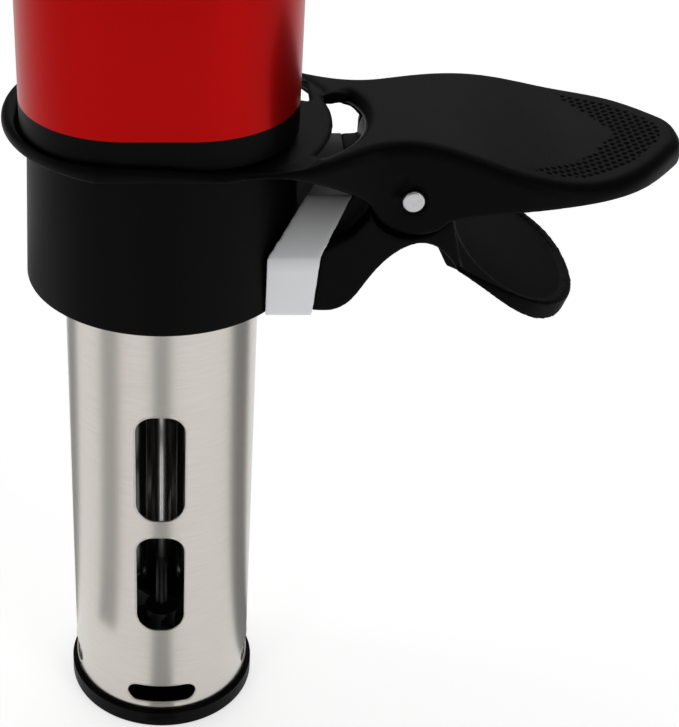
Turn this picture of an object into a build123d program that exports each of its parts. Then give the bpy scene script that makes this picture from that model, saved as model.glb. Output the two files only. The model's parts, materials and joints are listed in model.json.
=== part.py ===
from build123d import *
import os
from math import cos, pi, radians, sin, sqrt

# Sous vide circulator that clips to a pot wall. Millimetres, +Z up, origin at the centre of
# the base cap's underside. The clamp's handle points along +X and the water slots face -Y.

# Clearances
press_gap = 0.05       # radial gap of pieces that are pressed or glued together
running_gap = 0.05     # radial gap of a shaft in its bush
seat_gap = 0.2         # gap of pieces that only slide together when the product is put together
moving_gap = 0.5       # gap between the clamp's moving pieces
cut_over = 1.0         # how far a cutting shape runs past the wall that it opens

# Base cap
cap_step = 1.6
cap_height = 5.9
cap_floor = 3.0
cap_edge = 1.2
cap_boss_radius = 6.0

# Steel skirt tube and its water slots
tube_radius = 28.5
tube_wall = 1.0
slot_width = 15.6
slot_x = -0.4
slot_corner = 6.4
upper_slot_height = 38.9
upper_slot_z = 103.4
lower_slot_height = 37.9
lower_slot_z = 59.2
base_slot_turns = (0, 90, 270)
base_slot_length = 22.6
base_slot_height = 7.5
base_slot_z = 13.1

# Lower housing, the round black collar that carries the tube
housing_bottom = 157.3
housing_height = 47.7
collar_step = 10.9
collar_taper = 1.7
housing_wall = 2.8
housing_floor = 3.0
housing_edge = 0.8
socket_height = 9.0
socket_wall = 5.0
neck_step = 2.4
neck_wall = 2.6
neck_height = 7.0

# Bulkhead that closes the tube, its gasket and its screws
gasket_thickness = 1.5
gasket_lip = 0.5
bulkhead_thickness = 4.0
bulkhead_screw_count = 4
bulkhead_screw_radius = 1.4
bulkhead_screw_depth = 5.0
screw_head_ratio = 1.85
screw_head_height = 1.8

# Drive shaft, its guide tube, bushes and seal
shaft_radius = 2.0
shaft_end_gap = 0.4
guide_radius = 3.3
guide_wall = 0.7
guide_bottom = 49.7
guide_bush_length = 8.0
foot_bush_radius = 4.0
foot_bush_stand = 1.0
seal_radius = 5.5
seal_height = 3.0

# Impeller
impeller_radius = 18.5
impeller_bottom = 12.0
impeller_height = 15.0
impeller_hub_radius = 5.5
blade_count = 6
blade_height = 12.0
blade_thickness = 1.6
blade_sweep = 20.0
shroud_thickness = 1.4

# Heater hairpins and probes
heater_radius = 4.1
heater_side = 8.6
heater_bend_radius = 8.0
heater_bend_z = 52.0
heater_stand = 6.0
probe_radius = 1.6
probe_y = 16.0
probe_bottom = 64.0
level_radius = 1.2
level_side = 11.0
level_y = 18.5
level_bottom = 118.0
probe_stand = 3.0

# Motor, its mount and the coupler
coupler_radius = 5.0
coupler_length = 10.0
coupler_gap = 0.6
motor_radius = 17.0
motor_height = 40.0
motor_wall = 1.2
motor_floor = 1.5
motor_cap_height = 4.0
motor_shaft_radius = 1.5
motor_core_radius = 12.0
motor_core_gap = 3.0
motor_shaft_stand = 1.5
mount_plate_radius = 27.0
mount_plate_thickness = 3.0
mount_plate_gap = 2.0
mount_hole_radius = 6.5
mount_leg_radius = 3.0
mount_leg_circle = 22.5
mount_leg_count = 3
motor_screw_radius = 1.25
motor_screw_circle = 11.0
motor_screw_tip = 1.0

# Power board and what stands on it
power_board_radius = 31.0
power_board_gap = 5.0
board_thickness = 1.6
board_screw_radius = 1.1
board_screw_depth = 5.0
capacitor_radius = 6.3
capacitor_height = 20.0
capacitor_x = -14.0
capacitor_y = 10.0
relay_length = 19.0
relay_width = 15.0
relay_height = 15.0
relay_x = 14.0
relay_y = 6.0
transformer_length = 20.0
transformer_width = 17.0
transformer_height = 16.0
transformer_y = -16.0

# Body sleeve, its trim ring and the gasket under the head
body_step = -1.0
body_shift = -0.7
body_deeper = 0.2
body_corner_inset = 8.5
body_wall = 2.4
body_height = 102.3
trim_height = 8.4
trim_ledge = 3.5
trim_spigot_height = 5.0
spigot_wall = 2.0
head_gasket_thickness = 1.2
head_gasket_inset = 0.6

# Head with its sloping control face
head_middle = 44.0
head_slope = 32.0
head_wall = 2.5
head_edge = 4.0
head_spigot_height = 5.0
lens_width = 46.0
lens_margin = 47.0
lens_corner = 6.0
lens_thickness = 1.6
lens_proud = 0.2
lens_ledge = 2.5
lens_end_gap = 27.5
display_height = 5.6
button_radius = 6.0
button_end_gap = 18.5
button_pitch = 17.0
button_gap = 0.3
button_flange = 1.2
button_flange_height = 1.2
button_proud = 1.0
button_stem_radius = 2.0
button_travel = 0.8
button_free_play = 0.3
switch_size = 6.0
switch_height = 1.5
control_board_margin = 25.0
control_board_corner = 14.0
control_board_edge = 2.5
control_board_foot = 7.0
control_board_depth = 9.0
control_boss_radius = 2.8
control_boss_inset = 3.5
control_boss_low = -7.0
control_boss_step = 1.5
gland_radius = 6.0
gland_bore = 3.6
gland_flange = 2.2
gland_flange_height = 2.0
gland_length = 9.0
gland_drop = 6.0

# Clamp: ring and upper lever. A name in _out is a distance out from the collar's lower edge
# along +X, and one in _up a height above the collar's shoulder.
ring_out = 5.3
ring_side = 41.2
ring_flange = 2.8
ring_bore_gap = 0.8
ring_up = 4.1
ring_slope_x = 2.0
lever_plate = 3.6
lever_wall = 3.2
lever_join_x = 4.0
shoulder_out = 4.6
shoulder_half = 30.3
neck_out = 19.1
neck_half = 23.6
paddle_out = 56.6
paddle_half = 34.2
nose_out = 92.6
nose_half = 22.6
crown_out = 101.9
crown_half = 11.4
tip_out = 105.6
dip_out = 6.6
dip_up = 0.7
hump_out = 30.6
hump_up = 3.0
paddle_low_out = 74.6
paddle_low_up = -4.7
tip_up = -3.4
skirt_start_x = 22.0
skirt_knee_out = 10.1
skirt_knee_up = -10.0
paddle_under_out = 59.6
paddle_under_up = -11.8
tip_under_up = -10.8
finger_hole_inner_out = 8.9
finger_hole_reach_out = 17.0
finger_hole_round = 28.4
finger_hole_end = 14.2
light_gap_out = 1.8
light_gap_start = 11.5
light_gap_end = 24.0
far_notch_start_out = 3.6
far_notch_end_out = 18.1
far_notch_up = -6.6
far_notch_corner = 4.0

# Clamp: pivot, jaw lever and pad, placed in the same way
pivot_out = 28.9
pivot_up = -13.0
cheek_radius = 11.5
rivet_radius = 2.2
rivet_head_radius = 3.15
rivet_head_height = 1.1
rivet_boss_radius = 5.0
rivet_half = 24.9
jaw_half = 24.7
jaw_core_half = 19.5
jaw_toe_up = -48.0
jaw_toe_out = 2.8
jaw_heel_out = 13.1
jaw_heel_up = -45.6
jaw_shin_out = 18.9
jaw_shin_up = -37.0
arch_out = 30.0
arch_up = -27.0
leg_out = 42.6
leg_up = -34.6
crease_up = -29.5
crease_out = 4.4
jaw_top_up = -14.0
jaw_top_out = 13.2
shoulder_knee_out = 13.2
shoulder_knee_up = -24.0
shoulder_round = 3.0
tongue_slope = 20.0
tongue_drop = 14.8
tongue_start = 21.2
tongue_root = 20.0
tongue_root_half = 26.0
tongue_middle = 40.3
tongue_half = 30.9
tongue_end = 59.4
tongue_depth = 9.0
tongue_under_middle_out = 59.2
tongue_under_middle_up = -44.6
tongue_under_low_out = 68.6
tongue_under_low_up = -49.3
tongue_under_end_out = 79.1
tongue_under_end_up = -51.6
web_low_out = 40.6
web_low_up = -36.6
web_end_out = 52.6
web_end_up = -42.0
tongue_rim = 2.2
tongue_sink = 0.8
pad_half = 27.6
pad_top_half = 19.5
pad_gap = 0.4
pad_top_lean = 4.2

# Torsion spring round the rivet
spring_wire = 1.6
spring_radius = 3.8
spring_pitch = 2.15
spring_turns = 5
spring_leg = 17.0
spring_up_angle = 17.0
spring_down_angle = 32.0
spring_pocket_gap = 0.4

# Radii and body sizes that follow from the tube
cap_radius = tube_radius + cap_step
housing_bottom_radius = tube_radius + collar_step
housing_top_radius = housing_bottom_radius - collar_taper
neck_radius = housing_top_radius - neck_step
body_length = 2 * (housing_bottom_radius + body_step)
body_width = body_length + body_deeper
body_corner = body_length / 2 - body_corner_inset

# Heights that follow from the sizes above
socket_top = housing_bottom + housing_floor + socket_height
housing_top = housing_bottom + housing_height
neck_top = housing_top + neck_height
bulkhead_bottom = socket_top + gasket_thickness
bulkhead_top = bulkhead_bottom + bulkhead_thickness
seal_top = bulkhead_top + seal_height
coupler_bottom = seal_top + coupler_gap
coupler_top = coupler_bottom + coupler_length
coupler_middle = (coupler_bottom + coupler_top) / 2
mount_bottom = coupler_top + mount_plate_gap
mount_top = mount_bottom + mount_plate_thickness
motor_top = mount_top + motor_height
motor_cap_top = motor_top + motor_cap_height
power_board_bottom = motor_cap_top + power_board_gap
power_board_top = power_board_bottom + board_thickness
trim_bottom = housing_top + ring_flange
trim_top = trim_bottom + trim_height
body_top = trim_top + body_height
head_bottom = body_top + head_gasket_thickness
socket_radius = tube_radius + press_gap + socket_wall
bulkhead_radius = housing_top_radius - housing_wall - seat_gap
bulkhead_screw_circle = tube_radius + socket_wall / 2
inner_length = body_length - 2 * body_wall
inner_width = body_width - 2 * body_wall
inner_corner = body_corner - body_wall
lens_height = body_length - lens_margin
lens_offset = body_length / 2 - lens_end_gap
button_offset = button_end_gap - body_length / 2
control_board_width = body_width - control_board_margin
control_boss_side = control_board_width / 2 - control_boss_inset
control_boss_high = lens_offset + lens_height / 2 + control_boss_step
board_high = control_boss_high + control_board_edge
board_low = button_offset - control_board_foot

# Places of the clamp
ring_radius = housing_bottom_radius + ring_out
ring_top = housing_top + ring_up
shoulder_x = housing_bottom_radius + shoulder_out
neck_x = housing_bottom_radius + neck_out
paddle_x = housing_bottom_radius + paddle_out
nose_x = housing_bottom_radius + nose_out
crown_x = housing_bottom_radius + crown_out
tip_x = housing_bottom_radius + tip_out
dip_x = housing_bottom_radius + dip_out
hump_x = housing_bottom_radius + hump_out
paddle_low_x = housing_bottom_radius + paddle_low_out
skirt_knee_x = housing_bottom_radius + skirt_knee_out
paddle_under_x = housing_bottom_radius + paddle_under_out
finger_hole_inner = housing_bottom_radius + finger_hole_inner_out
finger_hole_reach = housing_bottom_radius + finger_hole_reach_out
light_gap_x = housing_bottom_radius + light_gap_out
far_notch_start = housing_bottom_radius + far_notch_start_out
far_notch_end = housing_bottom_radius + far_notch_end_out
pivot_x = housing_bottom_radius + pivot_out
jaw_toe_x = housing_bottom_radius + jaw_toe_out
jaw_heel_x = housing_bottom_radius + jaw_heel_out
jaw_shin_x = housing_bottom_radius + jaw_shin_out
arch_x = housing_bottom_radius + arch_out
leg_x = housing_bottom_radius + leg_out
tongue_under_middle_x = housing_bottom_radius + tongue_under_middle_out
tongue_under_low_x = housing_bottom_radius + tongue_under_low_out
tongue_under_end_x = housing_bottom_radius + tongue_under_end_out
web_low_x = housing_bottom_radius + web_low_out
web_end_x = housing_bottom_radius + web_end_out
crease_x = housing_bottom_radius + crease_out
jaw_top_x = housing_bottom_radius + jaw_top_out
shoulder_knee_x = housing_bottom_radius + shoulder_knee_out
dip_z = housing_top + dip_up
hump_z = housing_top + hump_up
paddle_low_z = housing_top + paddle_low_up
tip_z = housing_top + tip_up
skirt_knee_z = housing_top + skirt_knee_up
paddle_under_z = housing_top + paddle_under_up
tip_under_z = housing_top + tip_under_up
far_notch_z = housing_top + far_notch_up
pivot_z = housing_top + pivot_up
jaw_toe_z = housing_top + jaw_toe_up
jaw_heel_z = housing_top + jaw_heel_up
jaw_shin_z = housing_top + jaw_shin_up
arch_z = housing_top + arch_up
leg_z = housing_top + leg_up
tongue_under_middle_z = housing_top + tongue_under_middle_up
tongue_under_low_z = housing_top + tongue_under_low_up
tongue_under_end_z = housing_top + tongue_under_end_up
web_low_z = housing_top + web_low_up
web_end_z = housing_top + web_end_up
crease_z = housing_top + crease_up
jaw_top_z = housing_top + jaw_top_up
shoulder_knee_z = housing_top + shoulder_knee_up
body_plane = Plane(origin=(body_shift, 0, 0), z_dir=(0, 0, 1))
ON_BASE = (Align.CENTER, Align.CENTER, Align.MIN)


def save(builder, name):
    """Label a finished piece and write its STEP file."""
    builder.part.label = name
    export_step(builder.part, f"parts/{name}.step")


def ring(inner, outer, bottom, height):
    """Flat-ended ring round the Z axis."""
    with BuildPart() as piece:
        with BuildSketch(Plane.XY.offset(bottom)):
            Circle(outer)
            Circle(inner, mode=Mode.SUBTRACT)
        extrude(amount=height)
    return piece


def screws(locations, shank_radius, shank_length, head_radius):
    """Group of equal screws whose heads stand on the plane z = 0 of each location."""
    with BuildPart() as piece:
        with Locations(*locations):
            Cylinder(head_radius, screw_head_height, align=ON_BASE)
        with Locations(*locations):
            Cylinder(shank_radius, shank_length, align=(Align.CENTER, Align.CENTER, Align.MAX))
    return piece


def polar(radius, count, start, z):
    """Upright places on a circle round the Z axis."""
    turns = [radians(start + 360 * index / count) for index in range(count)]
    return [Location((radius * cos(turn), radius * sin(turn), z)) for turn in turns]


# Base cap with a flat underside and the boss of the foot bush
with BuildPart() as base_cap:
    Cylinder(cap_radius, cap_height, align=ON_BASE)
    fillet(base_cap.edges().filter_by(GeomType.CIRCLE).sort_by(Axis.Z)[0], cap_edge)
    with BuildSketch(Plane.XY.offset(cap_floor)):
        Circle(tube_radius + press_gap)
        Circle(cap_boss_radius, mode=Mode.SUBTRACT)
        Circle(foot_bush_radius + press_gap)
    extrude(amount=cap_height, mode=Mode.SUBTRACT)
save(base_cap, "base_cap")

# Steel skirt tube, open at the front through two tall slots and round its foot
with BuildPart() as skirt_tube:
    with BuildSketch(Plane.XY.offset(cap_floor)):
        Circle(tube_radius)
        Circle(tube_radius - tube_wall, mode=Mode.SUBTRACT)
    extrude(amount=socket_top - cap_floor)
    with BuildSketch(Plane.XZ):
        with Locations((slot_x, upper_slot_z)):
            RectangleRounded(slot_width, upper_slot_height, slot_corner)
        with Locations((slot_x, lower_slot_z)):
            RectangleRounded(slot_width, lower_slot_height, slot_corner)
    extrude(amount=tube_radius + cut_over, mode=Mode.SUBTRACT)
    for turn in base_slot_turns:
        way = radians(turn)
        with BuildSketch(Plane((0, 0, 0), x_dir=(cos(way), sin(way), 0), z_dir=(sin(way), -cos(way), 0))):
            with Locations((0, base_slot_z)):
                SlotOverall(base_slot_length, base_slot_height)
        extrude(amount=tube_radius + cut_over, mode=Mode.SUBTRACT)
save(skirt_tube, "skirt_tube")

# Foot bush, guide bush and seal that the shaft runs in
foot_bush = ring(shaft_radius + running_gap, foot_bush_radius, cap_floor,
                 cap_height - cap_floor + foot_bush_stand)
save(foot_bush, "foot_bush")
guide_bush = ring(shaft_radius + running_gap, guide_radius - guide_wall - press_gap,
                  guide_bottom, guide_bush_length)
save(guide_bush, "guide_bush")
shaft_guide = ring(guide_radius - guide_wall, guide_radius, guide_bottom,
                   bulkhead_top - guide_bottom)
save(shaft_guide, "shaft_guide")
shaft_seal = ring(shaft_radius + running_gap, seal_radius, bulkhead_top, seal_height)
save(shaft_seal, "shaft_seal")

# Drive shaft from the foot bush to the coupler
shaft_bottom = cap_floor + shaft_end_gap
with BuildPart() as drive_shaft:
    with Locations((0, 0, shaft_bottom)):
        Cylinder(shaft_radius, coupler_middle - shaft_bottom, align=ON_BASE)
save(drive_shaft, "drive_shaft")

# Impeller: hub, shroud disc and swept blades
with BuildPart() as impeller:
    with BuildSketch(Plane.XY.offset(impeller_bottom)):
        Circle(impeller_hub_radius)
    extrude(amount=impeller_height)
    with BuildSketch(Plane.XY.offset(impeller_bottom)):
        Circle(impeller_radius)
    extrude(amount=shroud_thickness)
    with BuildSketch(Plane.XY.offset(impeller_bottom)):
        with PolarLocations((impeller_hub_radius + impeller_radius) / 2, blade_count):
            Rectangle(impeller_radius - shaft_radius - blade_thickness, blade_thickness,
                      rotation=blade_sweep)
        Circle(impeller_radius, mode=Mode.INTERSECT)
    extrude(amount=blade_height)
    with Locations((0, 0, impeller_bottom)):
        Cylinder(shaft_radius + press_gap, impeller_height, align=ON_BASE, mode=Mode.SUBTRACT)
save(impeller, "impeller")

# Two heater hairpins, one each side of the shaft
heater_top = bulkhead_top + heater_stand
heater_names = {-1: "heater_left", 1: "heater_right"}
for side, heater_name in heater_names.items():
    heater_x = side * heater_side
    with BuildPart() as heater:
        with BuildLine():
            down = Line((heater_x, -heater_bend_radius, heater_top),
                        (heater_x, -heater_bend_radius, heater_bend_z))
            bend = ThreePointArc(down @ 1, (heater_x, 0, heater_bend_z - heater_bend_radius),
                                 (heater_x, heater_bend_radius, heater_bend_z))
            Line(bend @ 1, (heater_x, heater_bend_radius, heater_top))
        with BuildSketch(Plane(origin=down @ 0, z_dir=down % 0)):
            Circle(heater_radius)
        sweep()
    save(heater, heater_name)

# Temperature probe and the pair of level probes behind the heaters
probe_top = bulkhead_top + probe_stand
with BuildPart() as temperature_probe:
    with Locations((0, probe_y, probe_bottom)):
        Cylinder(probe_radius, probe_top - probe_bottom, align=ON_BASE)
    fillet(temperature_probe.edges().sort_by(Axis.Z)[0], probe_radius / 2)
save(temperature_probe, "temperature_probe")
with BuildPart() as level_probes:
    with Locations((-level_side, level_y, level_bottom), (level_side, level_y, level_bottom)):
        Cylinder(level_radius, probe_top - level_bottom, align=ON_BASE)
save(level_probes, "level_probes")

# Lower housing: floor with the tube's socket, flared wall, shoulder and neck
bulkhead_screw_places = polar(bulkhead_screw_circle, bulkhead_screw_count, 45, bulkhead_top)
with BuildPart() as lower_housing:
    with BuildSketch(Plane.XZ):
        with BuildLine():
            Polyline(
                (tube_radius + press_gap, housing_bottom),
                (housing_bottom_radius, housing_bottom),
                (housing_top_radius, housing_top),
                (neck_radius, housing_top),
                (neck_radius, neck_top),
                (neck_radius - neck_wall, neck_top),
                (neck_radius - neck_wall, housing_top - housing_wall),
                (housing_top_radius - housing_wall, housing_top - housing_wall),
                (housing_top_radius - housing_wall, housing_bottom + housing_floor),
                (socket_radius, housing_bottom + housing_floor),
                (socket_radius, socket_top),
                (tube_radius + press_gap, socket_top),
                close=True,
            )
        make_face()
    revolve(axis=Axis.Z)
    outer_foot = lower_housing.edges().filter_by(GeomType.CIRCLE).group_by(Axis.Z)[0]
    fillet(outer_foot.sort_by(SortBy.RADIUS)[-1], housing_edge)
    with Locations(*[place * Pos(0, 0, socket_top - bulkhead_top) for place in bulkhead_screw_places]):
        Cylinder(bulkhead_screw_radius + press_gap, bulkhead_screw_depth,
                 align=(Align.CENTER, Align.CENTER, Align.MAX), mode=Mode.SUBTRACT)
save(lower_housing, "lower_housing")

# Gasket and bulkhead that seal the top of the tube
with BuildPart() as tube_gasket:
    with BuildSketch(Plane.XY.offset(socket_top)):
        Circle(socket_radius)
        Circle(tube_radius - gasket_lip, mode=Mode.SUBTRACT)
        with Locations(*bulkhead_screw_places):
            Circle(bulkhead_screw_radius + seat_gap, mode=Mode.SUBTRACT)
    extrude(amount=gasket_thickness)
save(tube_gasket, "tube_gasket")
with BuildPart() as bulkhead:
    with BuildSketch(Plane.XY.offset(bulkhead_bottom)):
        Circle(bulkhead_radius)
        Circle(guide_radius + press_gap, mode=Mode.SUBTRACT)
        with GridLocations(2 * heater_side, 2 * heater_bend_radius, 2, 2):
            Circle(heater_radius + press_gap, mode=Mode.SUBTRACT)
        with Locations((0, probe_y)):
            Circle(probe_radius + press_gap, mode=Mode.SUBTRACT)
        with Locations((-level_side, level_y), (level_side, level_y)):
            Circle(level_radius + press_gap, mode=Mode.SUBTRACT)
        with Locations(*bulkhead_screw_places):
            Circle(bulkhead_screw_radius + seat_gap, mode=Mode.SUBTRACT)
    extrude(amount=bulkhead_thickness)
save(bulkhead, "bulkhead")
bulkhead_screw_reach = bulkhead_thickness + gasket_thickness + bulkhead_screw_depth - cut_over
bulkhead_screws = screws(bulkhead_screw_places, bulkhead_screw_radius, bulkhead_screw_reach,
                         bulkhead_screw_radius * screw_head_ratio)
save(bulkhead_screws, "bulkhead_screws")

# Coupler between the drive shaft and the motor's shaft
with BuildPart() as shaft_coupler:
    with BuildSketch(Plane.XY.offset(coupler_bottom)):
        Circle(coupler_radius)
        Circle(shaft_radius + press_gap, mode=Mode.SUBTRACT)
    extrude(amount=coupler_middle - coupler_bottom)
    with BuildSketch(Plane.XY.offset(coupler_middle)):
        Circle(coupler_radius)
        Circle(motor_shaft_radius + press_gap, mode=Mode.SUBTRACT)
    extrude(amount=coupler_top - coupler_middle)
save(shaft_coupler, "shaft_coupler")

# Motor mount: plate on three legs, with a standoff for the power board over each leg
leg_places = polar(mount_leg_circle, mount_leg_count, 90, bulkhead_top)
motor_screw_places = [Location((0, side * motor_screw_circle, mount_bottom), (180, 0, 0))
                      for side in (-1, 1)]
with BuildPart() as motor_mount:
    with BuildSketch(Plane.XY.offset(mount_bottom)):
        Circle(mount_plate_radius)
        Circle(mount_hole_radius, mode=Mode.SUBTRACT)
        with Locations(*motor_screw_places):
            Circle(motor_screw_radius + seat_gap, mode=Mode.SUBTRACT)
    extrude(amount=mount_plate_thickness)
    with Locations(*leg_places):
        Cylinder(mount_leg_radius, mount_bottom - bulkhead_top, align=ON_BASE)
    with Locations(*polar(mount_leg_circle, mount_leg_count, 90, mount_top)):
        Cylinder(mount_leg_radius, power_board_bottom - mount_top, align=ON_BASE)
    with Locations(*polar(mount_leg_circle, mount_leg_count, 90, power_board_bottom)):
        Cylinder(board_screw_radius + press_gap, board_screw_depth,
                 align=(Align.CENTER, Align.CENTER, Align.MAX), mode=Mode.SUBTRACT)
save(motor_mount, "motor_mount")

# Motor: steel can, end cap and the rotor that turns in them
with BuildPart() as motor_can:
    with BuildSketch(Plane.XY.offset(mount_top)):
        Circle(motor_radius)
        Circle(motor_shaft_radius + running_gap, mode=Mode.SUBTRACT)
        with Locations(*motor_screw_places):
            Circle(motor_screw_radius + press_gap, mode=Mode.SUBTRACT)
    extrude(amount=motor_floor)
    with BuildSketch(Plane.XY.offset(mount_top + motor_floor)):
        Circle(motor_radius)
        Circle(motor_radius - motor_wall, mode=Mode.SUBTRACT)
    extrude(amount=motor_height - motor_floor)
save(motor_can, "motor_can")
motor_cap = ring(motor_shaft_radius + running_gap, motor_radius, motor_top, motor_cap_height)
save(motor_cap, "motor_cap")
with BuildPart() as motor_rotor:
    with Locations((0, 0, coupler_middle + shaft_end_gap)):
        Cylinder(motor_shaft_radius, motor_cap_top + motor_shaft_stand - coupler_middle - shaft_end_gap,
                 align=ON_BASE)
    with Locations((0, 0, mount_top + motor_floor + motor_core_gap)):
        Cylinder(motor_core_radius, motor_height - motor_floor - 2 * motor_core_gap, align=ON_BASE)
save(motor_rotor, "motor_rotor")
motor_screws = screws(motor_screw_places, motor_screw_radius,
                      mount_plate_thickness + motor_floor + motor_screw_tip,
                      motor_screw_radius * screw_head_ratio)
save(motor_screws, "motor_screws")

# Power board on the standoffs, its screws and its largest components
board_screw_places = polar(mount_leg_circle, mount_leg_count, 90, power_board_top)
with BuildPart() as power_board:
    with BuildSketch(Plane.XY.offset(power_board_bottom)):
        Circle(power_board_radius)
        with Locations(*board_screw_places):
            Circle(board_screw_radius + seat_gap, mode=Mode.SUBTRACT)
    extrude(amount=board_thickness)
save(power_board, "power_board")
board_screws = screws(board_screw_places, board_screw_radius,
                      board_thickness + board_screw_depth - cut_over,
                      board_screw_radius * screw_head_ratio)
save(board_screws, "board_screws")
with BuildPart() as capacitor:
    with Locations((capacitor_x, capacitor_y, power_board_top)):
        Cylinder(capacitor_radius, capacitor_height, align=ON_BASE)
save(capacitor, "capacitor")
with BuildPart() as relay:
    with Locations((relay_x, relay_y, power_board_top)):
        Box(relay_width, relay_length, relay_height, align=ON_BASE)
save(relay, "relay")
with BuildPart() as transformer:
    with Locations((0, transformer_y, power_board_top)):
        Box(transformer_length, transformer_width, transformer_height, align=ON_BASE)
save(transformer, "transformer")

# Trim ring: black band that sits on the neck and carries the body sleeve
with BuildPart() as trim_ring:
    with BuildSketch(body_plane.offset(trim_bottom)):
        RectangleRounded(body_length, body_width, body_corner)
    extrude(amount=trim_height)
    with BuildSketch(body_plane.offset(trim_top)):
        RectangleRounded(inner_length - 2 * seat_gap, inner_width - 2 * seat_gap, inner_corner - seat_gap)
    extrude(amount=trim_spigot_height)
    with BuildSketch(Plane.XY.offset(trim_bottom)):
        Circle(neck_radius + seat_gap)
    extrude(amount=neck_top - trim_bottom, mode=Mode.SUBTRACT)
    with BuildSketch(Plane.XY.offset(trim_bottom)):
        Circle(neck_radius - trim_ledge)
    extrude(amount=trim_height + trim_spigot_height, mode=Mode.SUBTRACT)
save(trim_ring, "trim_ring")

# Body sleeve: painted shell with straight sides
with BuildPart() as body_sleeve:
    with BuildSketch(body_plane.offset(trim_top)):
        RectangleRounded(body_length, body_width, body_corner)
        RectangleRounded(inner_length, inner_width, inner_corner, mode=Mode.SUBTRACT)
    extrude(amount=body_height)
save(body_sleeve, "body_sleeve")

# Gasket between the sleeve and the head
with BuildPart() as head_gasket:
    with BuildSketch(body_plane.offset(body_top)):
        RectangleRounded(body_length - 2 * head_gasket_inset, body_width - 2 * head_gasket_inset,
                         body_corner - head_gasket_inset)
        RectangleRounded(inner_length, inner_width, inner_corner, mode=Mode.SUBTRACT)
    extrude(amount=head_gasket_thickness)
save(head_gasket, "head_gasket")

# Control face: a plane that faces up and away from the clamp, its own x towards -Y
face_centre = (body_shift, 0, head_bottom + head_middle)
face_plane = Plane(origin=face_centre, x_dir=(0, -1, 0),
                   z_dir=(-sin(radians(head_slope)), 0, cos(radians(head_slope))))
inner_face_plane = face_plane.offset(-head_wall)
head_reach = head_middle + body_length
button_places = [(index * button_pitch, button_offset) for index in (-1, 0, 1)]
boss_places = [(-control_boss_side, control_boss_low), (control_boss_side, control_boss_low),
               (0, control_boss_high)]
gland_z = head_bottom + head_middle - gland_drop
gland_plane = Plane(origin=(body_shift + body_length / 2, 0, gland_z), x_dir=(0, 1, 0), z_dir=(1, 0, 0))

# Inner space of the head, under a wall of even thickness
with BuildPart() as head_space:
    with BuildSketch(body_plane.offset(head_bottom - head_spigot_height)):
        RectangleRounded(inner_length - 2 * spigot_wall, inner_width - 2 * spigot_wall,
                         inner_corner - spigot_wall)
    extrude(amount=head_reach)
    split(bisect_by=inner_face_plane, keep=Keep.BOTTOM)

# Head housing: hollow crown with openings for the lens, the buttons and the cord gland
with BuildPart() as head_housing:
    with BuildSketch(body_plane.offset(head_bottom)):
        RectangleRounded(body_length, body_width, body_corner)
    extrude(amount=head_reach)
    split(bisect_by=face_plane, keep=Keep.BOTTOM)
    fillet(head_housing.faces().sort_by(Axis.Z)[-1].edges(), head_edge)
    with BuildSketch(body_plane.offset(head_bottom - head_spigot_height)):
        RectangleRounded(inner_length - 2 * seat_gap, inner_width - 2 * seat_gap, inner_corner - seat_gap)
    extrude(amount=head_spigot_height)
    add(head_space.part, mode=Mode.SUBTRACT)
    with BuildSketch(inner_face_plane):
        with Locations(*boss_places):
            Circle(control_boss_radius)
    extrude(amount=-(control_board_depth - head_wall))
    with BuildSketch(face_plane):
        with Locations((0, lens_offset)):
            RectangleRounded(lens_width + 2 * press_gap, lens_height + 2 * press_gap, lens_corner + press_gap)
    extrude(amount=-(lens_thickness - lens_proud), mode=Mode.SUBTRACT)
    with BuildSketch(face_plane):
        with Locations((0, lens_offset)):
            RectangleRounded(lens_width - 2 * lens_ledge, lens_height - 2 * lens_ledge,
                             lens_corner - lens_ledge)
        with Locations(*button_places):
            Circle(button_radius + button_gap)
    extrude(amount=-head_wall, mode=Mode.SUBTRACT)
    with BuildSketch(face_plane.offset(-control_board_depth)):
        with Locations(*boss_places):
            Circle(board_screw_radius + press_gap)
    extrude(amount=board_screw_depth, mode=Mode.SUBTRACT)
    with BuildSketch(gland_plane):
        Circle(gland_radius + press_gap)
    extrude(amount=-(body_wall + spigot_wall + cut_over), mode=Mode.SUBTRACT)
save(head_housing, "head_housing")

# Display lens in its recess
with BuildPart() as display_lens:
    with BuildSketch(face_plane.offset(lens_proud)):
        with Locations((0, lens_offset)):
            RectangleRounded(lens_width, lens_height, lens_corner)
    extrude(amount=-lens_thickness)
save(display_lens, "display_lens")

# Control board on the head's bosses, its screws, the display module and the switches
board_plane = face_plane.offset(-control_board_depth)
with BuildPart() as control_board:
    with BuildSketch(board_plane):
        with Locations((0, (board_high + board_low) / 2)):
            RectangleRounded(control_board_width, board_high - board_low, control_board_corner)
        with Locations(*boss_places):
            Circle(board_screw_radius + seat_gap, mode=Mode.SUBTRACT)
    extrude(amount=-board_thickness)
save(control_board, "control_board")
under_board = board_plane.offset(-board_thickness)
control_screw_places = [under_board.location * Location((x, y, 0), (180, 0, 0)) for x, y in boss_places]
control_screws = screws(control_screw_places, board_screw_radius,
                        board_thickness + board_screw_depth - cut_over,
                        board_screw_radius * screw_head_ratio)
save(control_screws, "control_screws")
with BuildPart() as display_module:
    with BuildSketch(board_plane):
        with Locations((0, lens_offset)):
            Rectangle(lens_width - 2 * lens_ledge - 2 * seat_gap, lens_height - 2 * lens_ledge - 2 * seat_gap)
    extrude(amount=display_height)
save(display_module, "display_module")
with BuildPart() as button_switches:
    with BuildSketch(board_plane):
        with Locations(*button_places):
            Rectangle(switch_size, switch_size)
    extrude(amount=switch_height)
save(button_switches, "button_switches")

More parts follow.
